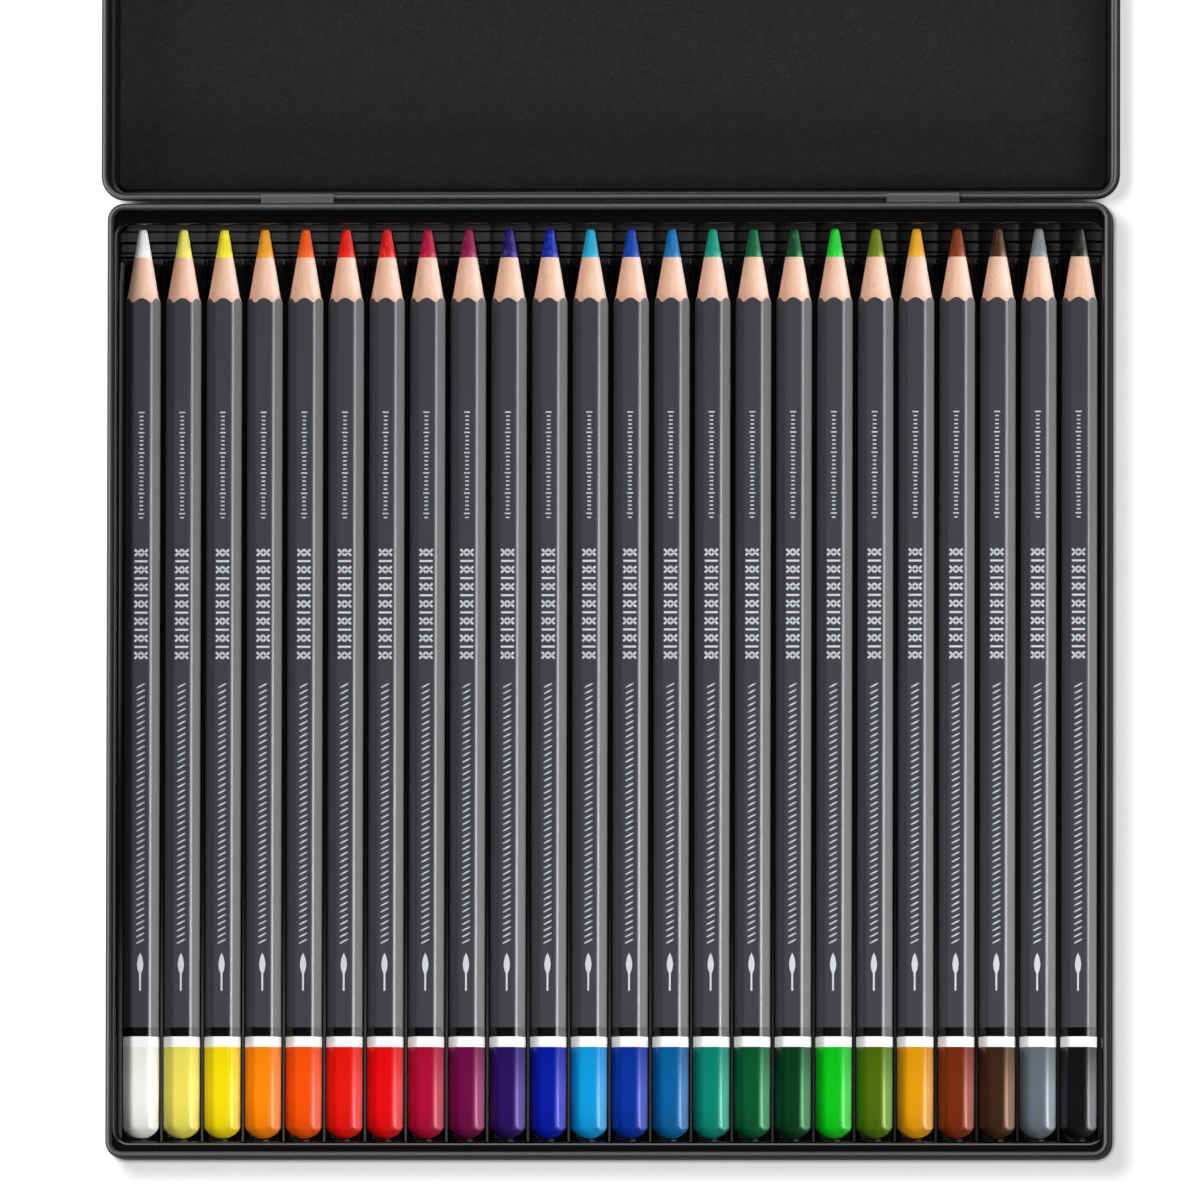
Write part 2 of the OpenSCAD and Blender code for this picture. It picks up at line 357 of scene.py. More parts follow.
# %% The colour chart, cores and dips
CHART = [
    ("#f5f5f1", "#fafafa"), ("#ecde5c", "#f6ee6a"), ("#f5db04", "#fdf028"), ("#fa8504", "#f6a41a"),
    ("#f25003", "#fa5e08"), ("#e21407", "#f41c0e"), ("#e2070c", "#e6161b"), ("#a80934", "#b80c3c"),
    ("#68083f", "#90124f"), ("#260f58", "#28126c"), ("#02189a", "#0a26a8"), ("#0795d5", "#24aed6"),
    ("#032e96", "#0c46ae"), ("#035b94", "#0e76b8"), ("#037c68", "#0e987f"), ("#034f2a", "#08653a"),
    ("#043417", "#064a22"), ("#05ba14", "#16d42d"), ("#466404", "#687e0e"), ("#d99205", "#f0ac20"),
    ("#6e2808", "#823914"), ("#342010", "#422a16"), ("#5b656e", "#7e858e"), ("#0e0e0f", "#1c1b18"),
]
DRAG_ACROSS = 0.3 * MM
DRAG_ALONG = 1.6 * MM
DRAG_DEPTH = 0.03 * MM
CORE_TINT = 0.7
ENAMEL_TINT = 0.75


def pigment_core(name, colour):
    """Waxy pigment with fine drag marks."""
    material, tree, output, where = new_finish(name)
    marks = add(
        tree,
        "Mapping",
        inputs={"Vector": where, "Scale": (1 / DRAG_ACROSS, 1 / DRAG_ALONG, 1 / DRAG_ACROSS)},
    )
    drag = add(tree, "TexNoise", inputs={"Vector": marks.outputs[0], "Scale": 1.0, "Detail": 4.0})
    crumbs = add(tree, "MapRange", inputs={0: drag.outputs[0], 1: 0.5, 2: 0.8, 3: 0.0, 4: 0.3})
    tint = add(
        tree,
        "Mix",
        {"data_type": "RGBA", "blend_type": "SCREEN"},
        {0: crumbs.outputs[0], 6: linear(colour), 7: linear("#9a9a9a")},
    )
    bump = add(tree, "Bump", inputs={"Distance": DRAG_DEPTH, "Height": drag.outputs[0]})
    skin = add(
        tree,
        "BsdfPrincipled",
        inputs={
            "Base Color": tint.outputs[2],
            "Roughness": 0.5,
            "IOR": 1.6,
            "Specular Tint": tinted(colour, CORE_TINT),
            "Normal": bump.outputs[0],
        },
    )
    tree.links.new(skin.outputs[0], output.inputs[0])
    return material


cores = [pigment_core(f"waxy_pigment_{i:02d}", core) for i, (_, core) in enumerate(CHART, 1)]
enamel = {"roughness": 0.44, "tone": 0.02, "ior": 1.6, "tint_share": ENAMEL_TINT}
dips = [
    pencil_lacquer(f"dipped_gloss_enamel_{i:02d}", dip, **enamel)
    for i, (dip, _) in enumerate(CHART, 1)
]
print("made", len(cores), "cores and", len(dips), "dips")

# %% [markdown]
# ## Hot-stamped silver foil
# The decoration is pressed on with a heated die through aluminium foil. The foil is thin, so it
# takes the lacquer's fine grain and shines as a broken satin silver. Its broken shine meets light
# from every side at once, so most of that shine is painted into the colour as a pale painted sheen,
# and only part is real metal.

# %% Silver foil
SPECKLE_ACROSS = 0.25 * MM

silver, tree, output, where = new_finish("hot_stamped_silver_foil")
fine = {"Vector": where, "Scale": 1 / SPECKLE_ACROSS, "Detail": 2.0}
speckle = add(tree, "TexNoise", inputs=fine)
gloss = add(tree, "MapRange", inputs={0: speckle.outputs[0], 3: 0.35, 4: 0.6})
# The pale base colour is painted sheen that stands in for most of the foil's shine.
skin = add(
    tree,
    "BsdfPrincipled",
    inputs={"Base Color": linear("#e2e4e8"), "Metallic": 0.25, "Roughness": gloss.outputs[0]},
)
tree.links.new(skin.outputs[0], output.inputs[0])
print("made", silver.name)

# %% [markdown]
# ## Helpers for the meshes
# Sheet metal and formed plastic have one profile, carried round a rectangle with round corners.
# A wire is drawn first, in the plane of X and Z, from straight steps and arcs. It is then spun a
# quarter turn at each corner and extruded along each side.

# %% Wires and finished pieces
ARC_STEP = 15
CORNER_STEPS = 8
WELD = 0.002 * MM
FINE_WELD = 0.001 * MM


def draw_wire(bm, start, steps, arc_step=ARC_STEP):
    """Draws a wire. A step is a point (x, z), or an arc about (x, z) with its degrees."""
    tip = bm.verts.new((start[0], 0, start[1]))
    for step in steps:
        if len(step) == 2:
            tip = bmesh.ops.extrude_vert_indiv(bm, verts=[tip])["verts"][0]
            tip.co = (step[0], 0, step[1])
        else:
            turned = bmesh.ops.spin(
                bm,
                geom=[tip],
                cent=(step[0], 0, step[1]),
                axis=(0, -1, 0),
                angle=radians(step[2]),
                steps=max(2, round(abs(step[2]) / arc_step)),
            )
            tip = next(g for g in turned["geom_last"] if isinstance(g, bmesh.types.BMVert))
    return bm.edges[:]


def parts_of(geometry, kind):
    return [g for g in geometry if isinstance(g, kind)]


def pull(bm, edges, step):
    """Extrudes edges by a step and returns the new edges at the far end."""
    pulled = bmesh.ops.extrude_edge_only(bm, edges=edges)["geom"]
    bmesh.ops.translate(bm, verts=parts_of(pulled, bmesh.types.BMVert), vec=step)
    return parts_of(pulled, bmesh.types.BMEdge)


def finish_piece(bm, name, body, finishes, flat_angle=40):
    """Turns a bmesh into a smooth-shaded object that rides on a body."""
    bmesh.ops.remove_doubles(bm, verts=bm.verts[:], dist=WELD)
    bmesh.ops.recalc_face_normals(bm, faces=bm.faces[:])
    mesh = bpy.data.meshes.new(name)
    bm.to_mesh(mesh)
    bm.free()
    return place_mesh(mesh, name, body, finishes, flat_angle)


def place_mesh(mesh, name, body, finishes, flat_angle=40):
    """Links a mesh as a piece of the object."""
    mesh.shade_smooth()
    mesh.set_sharp_from_angle(angle=radians(flat_angle))
    indices = [p.material_index for p in mesh.polygons]
    mesh.materials.clear()
    for finish in finishes:
        mesh.materials.append(finish)
    mesh.polygons.foreach_set("material_index", indices)
    piece = bpy.data.objects.new(name, mesh)
    bpy.context.scene.collection.objects.link(piece)
    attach(piece, body)
    return piece


def carry_round(bm, wire, width, depth, radius, middle_y=0.0, stops=()):
    """Carries a wire round a rectangle with round corners. The wire's x is its distance from a
    corner's centre. The sides along X break at the stops."""
    half_x, half_y = width / 2 - radius, depth / 2 - radius
    corners = [(half_x, half_y), (-half_x, half_y), (-half_x, -half_y), (half_x, -half_y)]
    bmesh.ops.translate(bm, verts=bm.verts[:], vec=(half_x, middle_y - half_y, 0))
    edges = wire
    breaks = sorted(x + half_x for x in stops)
    for corner, turn in zip(corners, range(4)):
        along = Matrix.Rotation(turn * pi / 2, 3, "Z") @ Vector((0, 1, 0))
        length = 2 * (half_y if turn % 2 == 0 else half_x)
        ends = (breaks if turn % 2 else []) + [length]
        for near, far in zip([0] + ends, ends):
            edges = pull(bm, edges, along * (far - near))
        ring = bmesh.ops.spin(
            bm,
            geom=edges + list({v for e in edges for v in e.verts}),
            cent=(corner[0], corner[1] + middle_y, 0),
            axis=(0, 0, 1),
            angle=pi / 2,
            steps=CORNER_STEPS,
        )
        edges = parts_of(ring["geom_last"], bmesh.types.BMEdge)
    bmesh.ops.remove_doubles(bm, verts=bm.verts[:], dist=WELD)


def thicken(bm, thickness):
    """Gives a sheet its thickness, on the side that its normals leave."""
    bmesh.ops.recalc_face_normals(bm, faces=bm.faces[:])
    bmesh.ops.solidify(bm, geom=bm.faces[:], thickness=thickness)


print("helpers ready")

# %% [markdown]
# ## The tray
# The tray is drawn from one blank of 0.3 mm sheet: a small foot radius, a straight wall, and a rim
# that is curled inwards by three quarters of a turn so that no cut edge can be touched. Only the
# sheet's outer skin is modelled, and a solidify gives it its gauge.

# %% Tray
SHEET = 0.3 * MM
CURL = 0.65 * MM
FOOT = 1.0 * MM
TRAY_CORNER = 3.2 * MM

tray_w = tray_high.x - tray_low.x
tray_d = -2 * tray_low.y
rim_z = tray_high.z
bm = bmesh.new()
wire = draw_wire(
    bm,
    (TRAY_CORNER - FOOT, 0),
    [
        (TRAY_CORNER - FOOT, FOOT, 90),
        (TRAY_CORNER, rim_z - CURL),
        (TRAY_CORNER - CURL, rim_z - CURL, 270),
    ],
)
carry_round(bm, wire, tray_w, tray_d, TRAY_CORNER)
floor_loop = [e for e in bm.edges if e.is_boundary and e.verts[0].co.z < SHEET]
bmesh.ops.contextual_create(bm, geom=floor_loop)
thicken(bm, SHEET)
tray = finish_piece(bm, "tray_shell", "tray", [tinplate], 50)
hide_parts("tray")
print("tray faces:", len(tray.data.polygons), "size:", [round(v / MM, 2) for v in tray.dimensions])

# %% [markdown]
# ## The hinge tongues
# Two tongues of the tray's back wall are bent out and rolled down over the lid's curl, which is
# the hinge pin. Each is a strip with one profile, so a wire is pulled sideways across its width.

# %% Hinge tongues
TONGUE_WIDTH = 14 * MM
TONGUE_SPACING = 120.5 * MM
PIN_FIT = 0.08 * MM
TONGUE_WRAP = 210
TONGUE_ARC_STEP = 12
LEG_TALL = 0.9 * MM
LEG_BEND = 0.35 * MM

outer_roll = CURL + PIN_FIT + SHEET
wall_y = tray_d / 2 - hinge.y
tongues = []
for side, label in ((-1, "left"), (1, "right")):
    bm = bmesh.new()
    wire = draw_wire(
        bm,
        (wall_y + SHEET, outer_roll + LEG_BEND + LEG_TALL),
        [
            (wall_y + SHEET, outer_roll + LEG_BEND),
            (wall_y + SHEET + LEG_BEND, outer_roll + LEG_BEND, 90),
            (0, outer_roll),
            (0, 0, -TONGUE_WRAP),
        ],
        arc_step=TONGUE_ARC_STEP,
    )
    bmesh.ops.rotate(bm, verts=bm.verts[:], cent=(0, 0, 0), matrix=Matrix.Rotation(pi / 2, 3, "Z"))
    left_end = side * TONGUE_SPACING / 2 - TONGUE_WIDTH / 2
    bmesh.ops.translate(bm, verts=bm.verts[:], vec=(left_end, hinge.y, hinge.z))
    pull(bm, wire, (TONGUE_WIDTH, 0, 0))
    thicken(bm, SHEET)
    tongue = finish_piece(bm, "hinge_tongue_" + label, "tray", [tinplate], 50)
    tongues.append(tongue)
    print(tongue.name, [round(v / MM, 2) for v in tongue.dimensions])

# %% [markdown]
# ## The lid
# The lid is drawn in the same way, but its rim is curled outwards. At the hinge the curl is the
# pin, and the wall behind it has a window for each tongue. The sides are extruded in steps that
# end at the windows' edges, so that the faces in a window can simply be deleted. The flat panel,
# which is the only part within the sheet's gauge from the table, gets the smoother finish.

# %% Lid
LID_CORNER = 3.45 * MM
NEAR_WALL = 0.1 * MM
WINDOW_SIDE_GAP = 0.4 * MM
WINDOW_CLEAR = 0.5 * MM
WINDOW_WIDTH = TONGUE_WIDTH + 2 * WINDOW_SIDE_GAP
WINDOW_DEEP = outer_roll + WINDOW_CLEAR

lid_d = lid_high.y - hinge.y - 3 * CURL
lid_w = lid_high.x - lid_low.x - 4 * CURL
lid_y = hinge.y + CURL + lid_d / 2
window_edges = [s * TONGUE_SPACING / 2 + e * WINDOW_WIDTH / 2 for s in (-1, 1) for e in (-1, 1)]
bm = bmesh.new()
wire = draw_wire(
    bm,
    (LID_CORNER + SHEET - FOOT, SHEET),
    [
        (LID_CORNER + SHEET - FOOT, FOOT, 90),
        (LID_CORNER, hinge.z - WINDOW_DEEP),
        (LID_CORNER, hinge.z),
        (LID_CORNER + CURL, hinge.z, -270),
    ],
)
carry_round(bm, wire, lid_w, lid_d, LID_CORNER, lid_y, window_edges)
floor_loop = [e for e in bm.edges if e.is_boundary and e.verts[0].co.z < 2 * SHEET]
bmesh.ops.contextual_create(bm, geom=floor_loop)
in_window = []
for face in bm.faces:
    c = face.calc_center_median()
    beside = min(abs(c.x - TONGUE_SPACING / 2), abs(c.x + TONGUE_SPACING / 2))
    if beside < WINDOW_WIDTH / 2 and abs(c.y - hinge.y - CURL) < NEAR_WALL:
        if hinge.z - WINDOW_DEEP < c.z < hinge.z:
            in_window.append(face)
bmesh.ops.delete(bm, geom=in_window, context="FACES")
thicken(bm, SHEET)
for face in bm.faces:
    if max(v.co.z for v in face.verts) < SHEET + WELD:
        face.material_index = 1
lid = finish_piece(bm, "lid_shell", "lid", [tinplate, flat_tinplate], 50)
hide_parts("lid")
flat_faces = sum(p.material_index for p in lid.data.polygons)
print("lid faces:", len(lid.data.polygons), "flat:", flat_faces, "cut for windows:", len(in_window))
print("lid size:", [round(v / MM, 2) for v in lid.dimensions])

# %% [markdown]
# ## The foam lining
# The lining is punched from sheet foam, so its upright edges are square and only its top edge is
# slightly pulled over by the punch. A cube is scaled to it, and two bevels round it.

# %% Foam lining
FOAM_CORNER = 1.5 * MM
FOAM_EDGE = 0.35 * MM

foam_size = foam_high - foam_low
bm = bmesh.new()
bmesh.ops.create_cube(bm, size=1)
bmesh.ops.scale(bm, verts=bm.verts[:], vec=foam_size)
bmesh.ops.translate(bm, verts=bm.verts[:], vec=(foam_low + foam_high) / 2)
upright = [e for e in bm.edges if abs(e.verts[0].co.z - e.verts[1].co.z) > foam_size.z / 2]
bevel = dict(profile=0.5, material=-1, affect="EDGES", offset_type="OFFSET")
bmesh.ops.bevel(bm, geom=upright, offset=FOAM_CORNER, segments=6, **bevel)
middle_z = (foam_low.z + foam_high.z) / 2
top_edge = [e for e in bm.edges if min(v.co.z for v in e.verts) > middle_z]
bmesh.ops.bevel(bm, geom=top_edge, offset=FOAM_EDGE, segments=3, **bevel)
lining = finish_piece(bm, "lid_foam", "lid", [foam])
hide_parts("lid_pad")
print("lining size in mm:", [round(v / MM, 2) for v in lining.dimensions])

# %% [markdown]
# ## The insert's flange and pocket
# The sheet lies as a flange round the tray, turns down over a soft lip and becomes the pocket's
# wall. The lip and wall are one profile carried round. The flange's widths differ from side to
# side, so its outer edge is a loop of its own, and the two loops are bridged.

# %% Flange, lip and wall
PLASTIC = 0.4 * MM
INSERT_CORNER = 2.8 * MM
FLANGE_SIDE, FLANGE_BACK, FLANGE_FRONT = 1.4 * MM, 3.4 * MM, 2.9 * MM
POCKET_CORNER = 2.4 * MM
LIP = 0.8 * MM

insert_w = insert_high.x - insert_low.x
insert_d = insert_high.y - insert_low.y
pocket_w = insert_w - 2 * FLANGE_SIDE
pocket_front = insert_low.y + FLANGE_FRONT
pocket_back = insert_high.y - FLANGE_BACK
pocket_d = pocket_back - pocket_front
bm = bmesh.new()
wire = draw_wire(
    bm,
    (POCKET_CORNER + LIP, insert_high.z),
    [
        (POCKET_CORNER + LIP, insert_high.z - LIP, 90),
        (POCKET_CORNER, insert_low.z + PLASTIC / 2),
    ],
)
carry_round(bm, wire, pocket_w, pocket_d, POCKET_CORNER, (pocket_front + pocket_back) / 2)
lip_loop = [e for e in bm.edges if e.is_boundary and e.verts[0].co.z > insert_high.z - LIP / 2]
before = set(bm.edges)
bmesh.ops.create_grid(
    bm,
    x_segments=1,
    y_segments=1,
    size=0.5,
    matrix=Matrix.LocRotScale(Vector((0, 0, insert_high.z)), None, Vector((insert_w, insert_d, 1))),
)
outline_corners = list({v for e in bm.edges if e not in before for v in e.verts})
bmesh.ops.bevel(
    bm,
    geom=outline_corners,
    offset=INSERT_CORNER,
    offset_type="OFFSET",
    segments=CORNER_STEPS,
    profile=0.5,
    affect="VERTICES",
    material=-1,
)
outline_face = [f for f in bm.faces if len(f.verts) > 4]
bmesh.ops.delete(bm, geom=outline_face, context="FACES_ONLY")
outline_loop = [
    e for e in bm.edges if not e.link_faces and e.verts[0].co.z > insert_high.z - LIP / 2
]
bmesh.ops.bridge_loops(bm, edges=lip_loop + outline_loop)
thicken(bm, PLASTIC)
flange = finish_piece(bm, "insert_pocket", "tray", [formed], 50)
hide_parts("insert")
print("flange and wall faces:", len(flange.data.polygons))
print("size:", [round(v / MM, 2) for v in flange.dimensions])

# %% [markdown]
# ## The insert's bed
# Under the row the same sheet is formed into 24 round grooves with a narrow ridge between each
# two. Near the tips the ridges slope down to a flat nose bed, which two cross ribs stiffen. Seen
# from the front it is a wire of arcs. The wire is pulled back step by step, and where the ridges
# end it is squeezed flat. Each rib is a start and an end, from the tips, and the height of its top.

# %% Grooved bed
GROOVE_GAP = 0.2 * MM
RIDGE_DROP = 0.4 * MM
GROOVES_END = 6.6 * MM
SLOPE = 3.9 * MM
SQUEEZED = 0.02
RIB_SHOULDER = 0.8
CROSS_RIBS = [(0.2 * MM, 2.5 * MM, 2.9 * MM), (4.3 * MM, 5.3 * MM, 2.42 * MM)]
RIB_ROUND = 0.3 * MM

casing_low, casing_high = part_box(casings[0])
tip_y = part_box("pencil_01_core")[1].y
end_y = casing_low.y
flats = casing_high.z - casing_low.z
axis_z = (casing_low.z + casing_high.z) / 2
pencil_x = [sum(corner.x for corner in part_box(name)) / 2 for name in casings]
across = casing_high.x - casing_low.x
groove_r = across / 2 + GROOVE_GAP
ridge_z = axis_z - RIDGE_DROP
ridge_half = sqrt(groove_r**2 - RIDGE_DROP**2)
arc = 2 * degrees(acos(RIDGE_DROP / groove_r))
bed_half = pocket_w / 2 + PLASTIC / 2
steps = []
for x in pencil_x:
    steps += [(x - ridge_half, ridge_z), (x, axis_z, arc)]
bm = bmesh.new()
wire = draw_wire(bm, (-bed_half, ridge_z), steps + [(bed_half, ridge_z)])
bmesh.ops.translate(bm, verts=bm.verts[:], vec=(0, pocket_front - PLASTIC / 2, 0))
nose_z = insert_low.z + PLASTIC
bed_stations = [(tip_y - GROOVES_END - SLOPE, 1.0, 0), (tip_y - GROOVES_END, SQUEEZED, 0)]
for near, far, top in reversed(CROSS_RIBS):
    rise = top - nose_z
    for y, share in (
        (tip_y - far - RIB_ROUND / 2, 0),
        (tip_y - far, RIB_SHOULDER),
        (tip_y - far + RIB_ROUND, 1),
        (tip_y - near - RIB_ROUND, 1),
        (tip_y - near, RIB_SHOULDER),
        (tip_y - near + RIB_ROUND / 2, 0),
    ):
        bed_stations.append((y, 1.0, rise * share))
bed_stations.append((pocket_back + PLASTIC / 2, 1.0, 0))
edges, at_y, lift = wire, pocket_front - PLASTIC / 2, 0
for y, squeeze, height in bed_stations:
    edges = pull(bm, edges, (0, y - at_y, height - lift))
    at_y, lift = y, height
    if squeeze != 1:
        ring = list({v for e in edges for v in e.verts})
        level = Matrix.Translation((0, 0, -nose_z))
        bmesh.ops.scale(bm, verts=ring, vec=(1, 1, squeeze), space=level)
bmesh.ops.recalc_face_normals(bm, faces=bm.faces[:])
if sum(f.normal.z for f in bm.faces) < 0:
    bmesh.ops.reverse_faces(bm, faces=bm.faces[:])
bmesh.ops.solidify(bm, geom=bm.faces[:], thickness=PLASTIC)
bed = finish_piece(bm, "insert_grooves", "tray", [formed], 40)
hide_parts("insert")
print("bed faces:", len(bed.data.polygons), "size:", [round(v / MM, 2) for v in bed.dimensions])

# %% [markdown]
# ## One pencil's outline
# All 24 pencils have one shape, so each part of a pencil is modelled once, on an axis that runs
# along Y, and copied into place. The outline is a hexagon with one flat upwards. Its edges are
# rounded, and its flats are cut into strips so that the sharpened edge can follow the cone.

# %% Hexagonal outline
EDGE_CUT = 0.14 * MM
STRIP_CUTS = 7
SHORTEST_SIDE = 1 * MM
HALF_FLATS = flats / 2


def hexagon_outline(bm, grow, blunt):
    """A capped hexagon in the plane of X and Z. Blunt is how much its corners lose."""
    radius = (HALF_FLATS + grow) / cos(radians(30))
    upright_flats = Matrix.Rotation(pi / 2, 4, "X") @ Matrix.Rotation(radians(30), 4, "Z")
    bmesh.ops.create_circle(bm, cap_ends=True, radius=radius, segments=6, matrix=upright_flats)
    fillet = blunt / (1 / cos(radians(30)) - 1)
    bmesh.ops.bevel(
        bm,
        geom=bm.verts[:],
        offset=fillet * sin(radians(30)) / cos(radians(30)),
        offset_type="OFFSET",
        segments=6,
        profile=0.5,
        affect="VERTICES",
        material=-1,
    )
    sides = [e for e in bm.edges if e.calc_length() > SHORTEST_SIDE]
    bmesh.ops.subdivide_edges(bm, edges=sides, cuts=STRIP_CUTS)
    return bm.edges[:]


def rim_verts(edges):
    return list({v for e in edges for v in e.verts})


def next_ring(bm, edges, finish_index=0):
    """Extrudes a ring in place. Its new faces get one of the piece's finishes."""
    old = set(bm.faces)
    pulled = bmesh.ops.extrude_edge_only(bm, edges=edges)["geom"]
    for face in bm.faces:
        if face not in old:
            face.material_index = finish_index
    return parts_of(pulled, bmesh.types.BMEdge)


def from_axis(vert):
    return sqrt(vert.co.x**2 + vert.co.z**2)


def shape_ring(edges, y, radius):
    """Moves a ring to y and each of its points to a radius. Both may depend on the old radius."""
    for vert in rim_verts(edges):
        old = from_axis(vert)
        new = radius(old) if callable(radius) else radius
        vert.co.y = y(old) if callable(y) else y
        vert.co.x *= new / old
        vert.co.z *= new / old


test = bmesh.new()
print("points round the outline:", len(hexagon_outline(test, 0, EDGE_CUT)))
test.free()

# %% [markdown]
# ## The pencil's body
# From the back: a plain start that hides inside the dip, the white band, the black band, the long
# anthracite barrel, the lacquer's scalloped edge, and the wood. Where the sharpener's cone meets a
# flat it cuts further back at the edges than in the middle, which makes the scallops. Each paint
# layer is a small step, because its thickness catches the light.

# %% Pencil body
LENGTH = tip_y - end_y
DIP_FROM, WHITE_TO, BLACK_TO = 17.5 * MM, 19.5 * MM, 21.25 * MM
PAINT_STEP = 0.03 * MM
PAINT_EDGE = 0.02 * MM
BODY_HIDDEN = 1.5 * MM
POINT_R = 0.75 * MM
CONE_FOOT_IN = 0.14 * MM
CORE_R = 1.7 * MM
BARE_CORE = 5.5 * MM
CONE_SLOPE = (CORE_R - POINT_R) / BARE_CORE
CONE_FOOT_R = HALF_FLATS - CONE_FOOT_IN
RUNOUT = 1.55 * MM
CUT_LACQUER = 0.05 * MM
CORE_HOLE = 0.3 * MM

cone_length = (CONE_FOOT_R - POINT_R) / CONE_SLOPE
full_corner = HALF_FLATS / cos(radians(30))


def scallop_y(radius):
    """How far forward the lacquer reaches at this distance from the axis."""
    run = (radius - CONE_FOOT_R) * RUNOUT / (full_corner - CONE_FOOT_R)
    return LENGTH - cone_length - run


bm = bmesh.new()
edges = hexagon_outline(bm, 0, EDGE_CUT)
shape_ring(edges, DIP_FROM - BODY_HIDDEN, lambda r: r - PAINT_STEP)
SATIN, WHITE, BLACK, WOOD = range(4)
bands = [
    (DIP_FROM, 0, WHITE),
    (WHITE_TO - PAINT_EDGE, 0, WHITE),
    (WHITE_TO + PAINT_EDGE, -PAINT_STEP, WHITE),
    (BLACK_TO - PAINT_EDGE, 0, BLACK),
    (BLACK_TO + PAINT_EDGE, -PAINT_STEP, BLACK),
]
for y, step, finish in bands:
    edges = next_ring(bm, edges, finish)
    shape_ring(edges, y, lambda r: r + step)
    if y == DIP_FROM:
        edges = next_ring(bm, edges, WHITE)
        shape_ring(edges, DIP_FROM + PAINT_EDGE / 2, lambda r: r + 2 * PAINT_STEP)
for share in (0.25, 0.5, 0.75):
    edges = next_ring(bm, edges, SATIN)
    shape_ring(edges, BLACK_TO + share * (LENGTH - cone_length - BLACK_TO), lambda r: r)
edges = next_ring(bm, edges, SATIN)
shape_ring(edges, scallop_y, lambda r: r)
edges = next_ring(bm, edges, WOOD)
shape_ring(edges, lambda r: scallop_y(r) + PAINT_EDGE, lambda r: r - CUT_LACQUER)
edges = next_ring(bm, edges, WOOD)
shape_ring(edges, LENGTH - cone_length, CONE_FOOT_R)
for share in (0.25, 0.5, 0.75, 1):
    s = cone_length + share * (BARE_CORE - cone_length)
    edges = next_ring(bm, edges, WOOD)
    shape_ring(edges, LENGTH - s, POINT_R + CONE_SLOPE * s)
edges = next_ring(bm, edges, WOOD)
shape_ring(edges, LENGTH - BARE_CORE, CORE_R - CORE_HOLE)
bmesh.ops.contextual_create(bm, geom=edges)
bmesh.ops.remove_doubles(bm, verts=bm.verts[:], dist=FINE_WELD)
bmesh.ops.recalc_face_normals(bm, faces=bm.faces[:])
body_mesh = bpy.data.meshes.new("pencil_body")
bm.to_mesh(body_mesh)
bm.free()
print("body faces:", len(body_mesh.polygons), "cone in mm:", round(cone_length / MM, 2))

# %% [markdown]
# ## The dipped end
# The enamel is thicker than the lacquers, so it softens the hexagon's edges and stands a little
# proud. The end itself is turned to a shallow dome before it is dipped.

# %% Dipped end
DIP_BLUNT = 0.18 * MM
DIP_PROUD = 0.05 * MM
DOME_TALL = 2.3 * MM
DOME_STEP = 7.5

dome_r = ((across / 2) ** 2 + DOME_TALL**2) / (2 * DOME_TALL)
bm = bmesh.new()
edges = hexagon_outline(bm, DIP_PROUD, DIP_BLUNT)
shape_ring(edges, DIP_FROM, lambda r: r - DIP_PROUD / 2)
edges = next_ring(bm, edges)
shape_ring(edges, DIP_FROM - DIP_PROUD, lambda r: r + DIP_PROUD / 2)
edges = next_ring(bm, edges)
shape_ring(edges, DIP_FROM / 2, lambda r: r)
polar = degrees(acos(1 - DOME_TALL / dome_r))
angle = polar
while angle > 1:
    sphere = dome_r * sin(radians(angle)) + DIP_PROUD
    y = dome_r * (1 - cos(radians(angle))) - DIP_PROUD / 2
    edges = next_ring(bm, edges)
    shape_ring(edges, y, lambda r: min(r, sphere))
    angle -= DOME_STEP
bmesh.ops.contextual_create(bm, geom=edges)
bmesh.ops.remove_doubles(bm, verts=bm.verts[:], dist=FINE_WELD)
bmesh.ops.recalc_face_normals(bm, faces=bm.faces[:])
dip_mesh = bpy.data.meshes.new("dipped_end")
bm.to_mesh(dip_mesh)
bm.free()
print("dip faces:", len(dip_mesh.polygons), "dome radius in mm:", round(dome_r / MM, 2))

# %% [markdown]
# ## The core
# The core is a round rod. The sharpener gives its bare end the same slope as the wood, and its
# point is blunt and a little rounded from the factory. Each station is a distance from the point
# and a radius in millimetres, and a radius of None lies on the cone.

# %% Core
CORE_STATIONS = [
    (6.5, 1.2), (5.6, 1.65), (5.48, 1.69), (4.0, None), (2.5, None), (1.2, None),
    (0.62, None), (0.38, 0.79), (0.2, 0.72), (0.08, 0.6), (0.02, 0.42),
]

bm = bmesh.new()
level_ring = Matrix.Rotation(pi / 2, 4, "X")
bmesh.ops.create_circle(bm, cap_ends=True, radius=1 * MM, segments=36, matrix=level_ring)
edges = bm.edges[:]
for count, (s, r) in enumerate(CORE_STATIONS):
    if count:
        edges = next_ring(bm, edges)
    r = r * MM if r else POINT_R + CONE_SLOPE * s * MM
    shape_ring(edges, LENGTH - s * MM, r)
bmesh.ops.contextual_create(bm, geom=edges)
bmesh.ops.recalc_face_normals(bm, faces=bm.faces[:])
core_mesh = bpy.data.meshes.new("core")
bm.to_mesh(core_mesh)
bm.free()
print("core faces:", len(core_mesh.polygons))

# %% [markdown]
# ## The foil decoration
# Four plain ornaments run along the top flat: a fine rule of ticks, a bold band of crosses and
# bars, a long twist of slanted strokes and dots, and one leaf. Each mark is a very thin plate, so
# it has real edges. They are drawn on an axis along Y, and their heights run along X.

